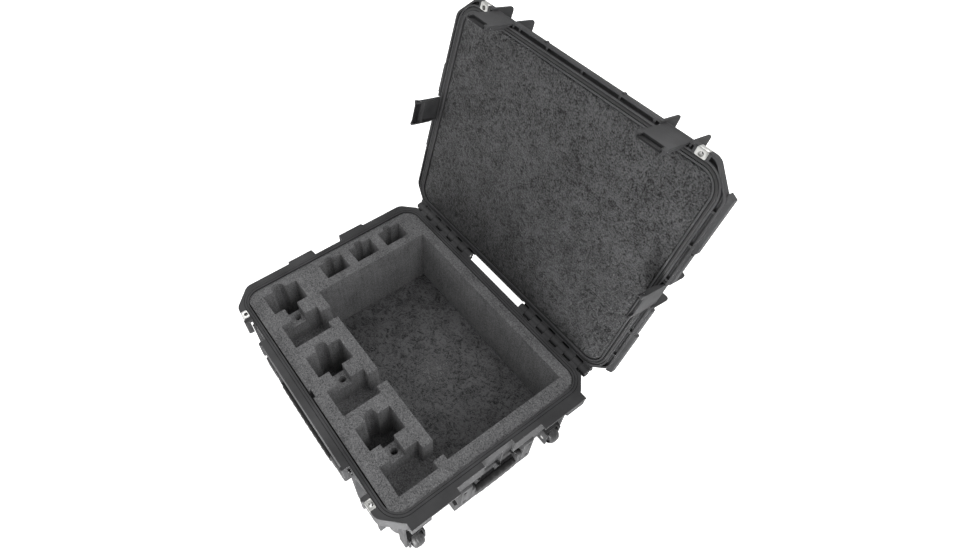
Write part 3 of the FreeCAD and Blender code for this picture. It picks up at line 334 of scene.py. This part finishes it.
# ---------------------------------------------------------------- foam
def padded_sheet(centre, half_x, half_y, corner, face_z, back_z, edge, pitch, texture, lift, sway):
    """A closed slab with rounded corners and one worked face. Row v has the half width of the rounded
    outline at its y; rows crowd together in the corners, at equal angles. The face drops by a quarter
    round of radius edge at its outline. It rises by lift times texture(x, y), which is 0 to 1, and by
    sway times a broad noise. Returns points, faces and the texture at each point."""
    turn = np.linspace(0, math.pi / 2, 19)[:-1]
    low = -half_y + corner - corner * np.cos(turn)
    middle = np.linspace(-half_y + corner, half_y - corner, max(2, round(2 * (half_y - corner) / pitch)))
    y_rows = np.concatenate([low, middle, -low[::-1]])
    beyond = np.maximum(np.abs(y_rows) - (half_y - corner), 0)
    widths = half_x - corner + np.sqrt(np.maximum(corner ** 2 - beyond ** 2, 0))
    across = np.linspace(-1, 1, round(2 * half_x / pitch))
    x = widths[:, None] * across[None, :]
    y = np.broadcast_to(y_rows[:, None], x.shape)
    qx, qy = np.abs(x) - (half_x - corner), np.abs(y) - (half_y - corner)
    inset = corner - np.hypot(np.maximum(qx, 0), np.maximum(qy, 0)) - np.minimum(np.maximum(qx, qy), 0)
    fall = edge - np.sqrt(np.maximum(edge ** 2 - np.maximum(edge - inset, 0) ** 2, 0))
    out = math.copysign(1, face_z - back_z)
    grain = texture(x, y)
    broad = smooth_noise(x, y, 75 * MM, SEED + 9) - 0.5
    z = face_z - out * fall + out * (lift * (grain - 0.5) + sway * broad) * np.clip(inset / edge, 0, 1)
    front = np.stack([x + centre[0], y + centre[1], z], -1).reshape(-1, 3)
    rows, columns = x.shape
    index = np.arange(rows * columns).reshape(rows, columns)
    rim = np.concatenate([index[0, :-1], index[:-1, -1], index[-1, :0:-1], index[:0:-1, 0]])
    back = front[rim] * (1, 1, 0) + (0, 0, back_z)
    first = len(front)
    around = np.arange(len(rim))
    ahead = (around + 1) % len(rim)
    skirt = np.stack([rim, rim[ahead], first + ahead, first + around], -1)
    faces = [*grid_faces(rows, columns), *skirt, first + around]
    return np.concatenate([front, back]), faces, np.concatenate([grain.ravel(), np.zeros(len(back))])


def opened(points):
    """Points drawn with the lid shut, turned about the hinge to the open pose."""
    hinge = JOINTS["lid_hinge"]
    turn = math.radians(-hinge["range_deg"][1])
    centre = np.array(hinge["pos_m"])
    matrix = np.array(Matrix.Rotation(turn, 3, Vector(hinge["axis"])))
    return (points - centre) @ matrix.T + centre


def shut(corner):
    """A point of the open lid, turned back to where it is with the lid shut."""
    hinge = JOINTS["lid_hinge"]
    centre = Vector(hinge["pos_m"])
    matrix = Matrix.Rotation(math.radians(hinge["range_deg"][1]), 3, Vector(hinge["axis"]))
    return matrix @ (Vector(corner) - centre) + centre


def shut_box(node):
    """Lowest and highest corner of a lid node with the lid shut."""
    corners = np.array([shut(vertex.co) for vertex in NODES[node].data.vertices])
    return corners.min(0), corners.max(0)


def lid_liner():
    """The pebbled liner that fills the lid, with its face at the rim."""
    low, high = shut_box("lid_foam")
    centre = ((low[0] + high[0]) / 2, (low[1] + high[1]) / 2)
    half_x, half_y = (high[0] - low[0]) / 2, (high[1] - low[1]) / 2

    def texture(x, y):
        cells = pebbles(x, y, 4.4 * MM, SEED) * 0.62 + worms(x, y, 5.5 * MM, SEED + 3) * 0.42
        return np.clip(cells * (0.75 + 0.5 * smooth_noise(x, y, 24 * MM, SEED + 5)), 0, 1)

    face_z = low[2] + 0.4 * MM
    points, faces, grain = padded_sheet(centre, half_x, half_y, 31.5 * MM, face_z, face_z + 18 * MM,
                                        4 * MM, 1.7 * MM, texture, 1.7 * MM, 0.8 * MM)
    liner = piece("lid_liner", opened(points), faces, MATERIALS["liner_foam"], "lid", 60, grain)
    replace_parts(liner, "lid_foam")


def bay_floor():
    """The grained skin on the floor pad, where the large bay leaves it bare."""
    pad_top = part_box("foam_floor_pad")[1].z
    bay = next(o for o in frame["record"]["physics"]["openings"] if o["name"] == "main_bay")["box_m"]
    centre = ((bay[0][0] + bay[1][0]) / 2, (bay[0][1] + bay[1][1]) / 2)
    half_x, half_y = (bay[1][0] - bay[0][0]) / 2 + 2 * MM, (bay[1][1] - bay[0][1]) / 2 + 2 * MM

    def texture(x, y):
        cells = worms(x, y, 5.2 * MM, SEED + 20) * 0.6 + pebbles(x, y, 3.8 * MM, SEED + 30) * 0.4
        return np.clip(cells * (0.7 + 0.6 * smooth_noise(x, y, 20 * MM, SEED + 25)), 0, 1)

    points, faces, grain = padded_sheet(centre, half_x, half_y, 3 * MM, pad_top + 0.6 * MM,
                                        pad_top - 0.3 * MM, 1.2 * MM, 1.6 * MM, texture, 1.5 * MM, 1.0 * MM)
    skin = piece("bay_floor_skin", points, faces, BAY_FLOOR_SKIN, "base", 60, grain)


def foam_blocks():
    """The cut insert and the pad under it, with the sawn edges broken."""
    for node in ("foam_insert", "foam_floor_pad"):
        eased(node, 0.9)


# ---------------------------------------------------------------- seal, grips and wheels
def gasket():
    """A round-topped seal: a D section carried along the rounded outline of the lid's groove."""
    low, high = shut_box("lid_gasket")
    width = 6.4 * MM
    corner = 40 * MM
    half_x, half_y = (high[0] - low[0]) / 2 - width / 2, (high[1] - low[1]) / 2 - width / 2
    turn = np.linspace(0, math.pi / 2, 17)
    quarter = math.pi / 2
    rounds = ((1, 1, 0), (-1, 1, quarter), (-1, -1, 2 * quarter), (1, -1, 3 * quarter))
    path = np.concatenate([np.stack([sx * (half_x - corner) + corner * np.cos(turn + start),
                                     sy * (half_y - corner) + corner * np.sin(turn + start)], -1)
                           for sx, sy, start in rounds])
    outward = np.concatenate([np.stack([np.cos(turn + start), np.sin(turn + start)], -1)
                              for _, _, start in rounds])
    around = np.linspace(0, math.pi, 9)
    crown = 0.7
    foot = (high[2] - low[2]) / (1 + crown)
    across = np.concatenate([np.cos(around), [-1.0, 1.0]]) * width / 2
    drop = np.concatenate([np.sin(around) * crown, [-1.0, -1.0]]) * foot
    xy = path[:, None, :] + outward[:, None, :] * across[None, :, None]
    z = np.broadcast_to(high[2] - foot - drop, xy.shape[:2])
    points = opened(np.concatenate([xy, z[..., None]], -1).reshape(-1, 3))
    faces = grid_faces(*xy.shape[:2], round_rows=True, round_columns=True)
    seal = piece("lid_seal", points, faces, MATERIALS["gasket_rubber"], "lid")
    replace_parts(seal, "lid_gasket")


def grip_sleeve(node, along, ribs):
    """A ribbed sleeve: rounded squares carried along the bar, whose half sizes swell in the middle of
    the hand and ripple with the ribs, and fall away at both ends."""
    low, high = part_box(node)
    side = 1 - along
    centre = (low + high) / 2
    length = high[along] - low[along]
    step = np.linspace(0, 1, 16 * ribs + 1)
    ripple = 0.035 * np.cos(2 * math.pi * ribs * step)
    ends = np.minimum(step, 1 - step) * length / (3 * MM)
    fall = np.sqrt(np.clip(1 - (1 - np.clip(ends, 0, 1)) ** 2, 0.02, 1))
    size = (0.90 + 0.06 * np.sin(math.pi * step) + ripple) * (0.75 + 0.25 * fall)
    angle = np.linspace(0, 2 * math.pi, 40, endpoint=False)
    power = 0.55
    across = np.sign(np.cos(angle)) * np.abs(np.cos(angle)) ** power * (high[side] - low[side]) / 2
    upward = np.sign(np.sin(angle)) * np.abs(np.sin(angle)) ** power * (high.z - low.z) / 2
    points = np.zeros((len(step), len(angle), 3))
    points[..., along] = (low[along] + length * step)[:, None]
    points[..., side] = centre[side] + size[:, None] * across
    points[..., 2] = centre.z + size[:, None] * upward
    count = len(angle)
    last = (len(step) - 1) * count
    faces = [*grid_faces(len(step), count, round_columns=True), np.arange(count), last + np.arange(count)]
    sleeve = piece(node + "_sleeve", points, faces, MATERIALS["grip_rubber"], BODY_OF[node],
                   50)
    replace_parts(sleeve, node)


def turned(name, section, centre, material, body, parts=72):
    """A closed section of (radius, along) points turned about a line through centre, along Y."""
    angle = np.linspace(0, 2 * math.pi, parts, endpoint=False)[:, None]
    radius, along = section[None, :, 0], section[None, :, 1]
    points = np.stack([centre[0] + radius * np.cos(angle), centre[1] + along + 0 * angle,
                       centre[2] + radius * np.sin(angle)], -1)
    faces = grid_faces(parts, section.shape[0], round_rows=True, round_columns=True)
    return piece(name, points, faces, material, body, 35)


def tyre(end):
    """A solid tyre: a crowned section, deeper outside than inside, with two shallow grooves round it."""
    centre = JOINTS["wheel_" + end + "_spin"]["pos_m"]
    t = np.linspace(0, 2 * math.pi, 96, endpoint=False)
    power = 0.95
    along = 12.9 * MM * np.sign(np.cos(t)) * np.abs(np.cos(t)) ** power
    radius = 18.0 * MM + np.where(np.sin(t) > 0, 6.0, 3.0) * MM * np.sin(t)
    groove = np.exp(-((np.abs(along) - 3.5 * MM) / (0.7 * MM)) ** 2) * (radius > 20 * MM)
    section = np.stack([radius - 0.5 * MM * groove, along], -1)
    name = "wheel_tyre_" + end
    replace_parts(turned(name + "_turned", section, centre, MATERIALS["tyre_rubber"], "wheel_" + end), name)


def hinge_socket_shade_strip(name, side, body, radius, first_deg, last_deg):
    """A black strip that closes the hinge's sockets from behind, painted shade that makes the sockets dark: an arc
    round the hinge's axis, 1.6 mm thick with rounded edges, carried along the pin. Drawn with the lid shut."""
    low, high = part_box("hinge_pin_" + side)
    centre = JOINTS["lid_hinge"]["pos_m"]
    steps = 25
    angle = np.radians(np.linspace(first_deg, last_deg, steps))
    arc = np.stack([np.cos(angle), np.sin(angle)], -1)
    half_thick = 0.8 * MM * np.sqrt(np.clip(1 - np.linspace(-1, 1, steps) ** 8, 0.04, 1))[:, None]
    section = np.concatenate([(radius + half_thick) * arc, ((radius - half_thick) * arc)[::-1]])
    overhang = 1 * MM
    reach = np.linspace(low.x - overhang, high.x + overhang, 9)
    points = np.zeros((len(reach), len(section), 3))
    points[..., 0] = reach[:, None]
    points[..., 1:] = section + (centre[1], centre[2])
    points = points.reshape(-1, 3)
    if body == "lid":
        points = opened(points)
    count = len(section)
    last = (len(reach) - 1) * count
    faces = [*grid_faces(len(reach), count, round_columns=True), np.arange(count), last + np.arange(count)]
    # black acetal here is painted shade: the strip stands for the darkness deep in the hinge's sockets
    piece(name, points, faces, MATERIALS["trigger_plastic"], body, 50)


# ---------------------------------------------------------------- camera, light and floor
def stage():
    """A white paper floor, soft light from all round, a softbox over each side and one over the lid, and a
    small low one beside the near corner."""
    floor = bpy.data.meshes.new("floor")
    reach = 30.0
    floor.from_pydata([(-reach, -reach, 0), (reach, -reach, 0), (reach, reach, 0), (-reach, reach, 0)], [],
                      [(0, 1, 2, 3)])
    ground = bpy.data.objects.new("floor", floor)
    bpy.context.scene.collection.objects.link(ground)
    paper, _, shader, _ = blank("white_paper_floor", Roughness=0.9)
    shader.inputs["Base Color"].default_value = linear("#f4f4f4")
    shader.inputs["Emission Color"].default_value = (1, 1, 1, 1)
    shader.inputs["Emission Strength"].default_value = 0.85
    floor.materials.append(paper)

    world = bpy.data.worlds.new("studio")
    bpy.context.scene.world = world
    world.use_nodes = True
    sky = world.node_tree.nodes["Background"]
    sky.inputs["Color"].default_value = (1, 1, 1, 1)
    sky.inputs["Strength"].default_value = 0.60
    softbox("left_softbox", (-1.5, 0.0, 1.9), (0, 0.0, 0.2), 0.9, 9)
    softbox("right_softbox", (1.5, 0.5, 2.0), (0, 0.0, 0.2), 0.9, 14)
    softbox("top_softbox", (0.1, 1.9, 2.3), (0, 0.3, 0.6), 0.8, 20)
    softbox("corner_softbox", (0.75, -0.65, 0.05), (0.28, -0.18, 0.15), 0.25, 16)


def softbox(name, place_at, aim, size, watts):
    """A square lamp of that side, turned towards aim. It lights the case and isn't itself in the picture."""
    light = bpy.data.lights.new(name, "AREA")
    light.size = size
    light.energy = watts
    lamp = bpy.data.objects.new(name, light)
    lamp.location = place_at
    lamp.rotation_mode = "QUATERNION"
    lamp.rotation_quaternion = (Vector(aim) - Vector(place_at)).to_track_quat("-Z", "Y")
    lamp.visible_camera = False
    bpy.context.scene.collection.objects.link(lamp)


def camera():
    """A camera above the wheel end's front corner, looking down into the open case."""
    look = Vector((-0.46757, 0.33539, -0.81786))
    up = Vector((-0.65779, 0.48606, 0.57538))
    side = look.cross(up)
    data = bpy.data.cameras.new("camera")
    data.sensor_width = 36
    data.lens = 21.393
    data.shift_x = 0.0617
    data.shift_y = 0.0192
    eye = bpy.data.objects.new("camera", data)
    eye.matrix_world = Matrix.Translation((0.51651, -0.30662, 1.22654)) @ Matrix(
        (side, up, -look)).transposed().to_4x4()
    bpy.context.scene.collection.objects.link(eye)
    bpy.context.scene.camera = eye
    bpy.context.scene.view_settings.view_transform = "Standard"


# ---------------------------------------------------------------- build
def finish_cad_nodes():
    """Gives each CAD node the material of its slot."""
    for node, shape in NODES.items():
        shape.data.materials.clear()
        shape.data.materials.append(MATERIALS[SLOT_OF[node]])


def ease_parts():
    """Rounds the edges of the moulded parts that the hand meets."""
    edges = {"front_handle_frame": 1.0, "end_handle_frame": 1.0, "pull_handle_grip": 1.2}
    for name in LATCHES:
        edges["latch_" + name] = 0.6
        edges["trigger_" + name] = 0.4
    for side in ("left", "right"):
        edges["front_handle_bracket_" + side] = 1.0
        edges["base_padlock_insert_" + side] = 0.5
        edges["lid_padlock_insert_" + side] = 0.5
    for end in ("front", "rear"):
        edges["end_handle_bracket_" + end] = 1.0
        edges["wheel_housing_" + end] = 0.8
        edges["wheel_hub_" + end] = 0.5
    for node, edge_mm in edges.items():
        eased(node, edge_mm)


camera()
stage()
finish_cad_nodes()
ease_parts()
foam_blocks()
lid_liner()
bay_floor()
gasket()
grip_sleeve("front_handle_grip", 0, 12)
grip_sleeve("end_handle_grip", 1, 6)
for end in ("front", "rear"):
    tyre(end)
for side in ("left", "right"):
    hinge_socket_shade_strip("base_hinge_socket_shade_" + side, side, "base", 10.6 * MM, -155, -60)
    hinge_socket_shade_strip("lid_hinge_socket_shade_" + side, side, "lid", 13.4 * MM, 75, 155)
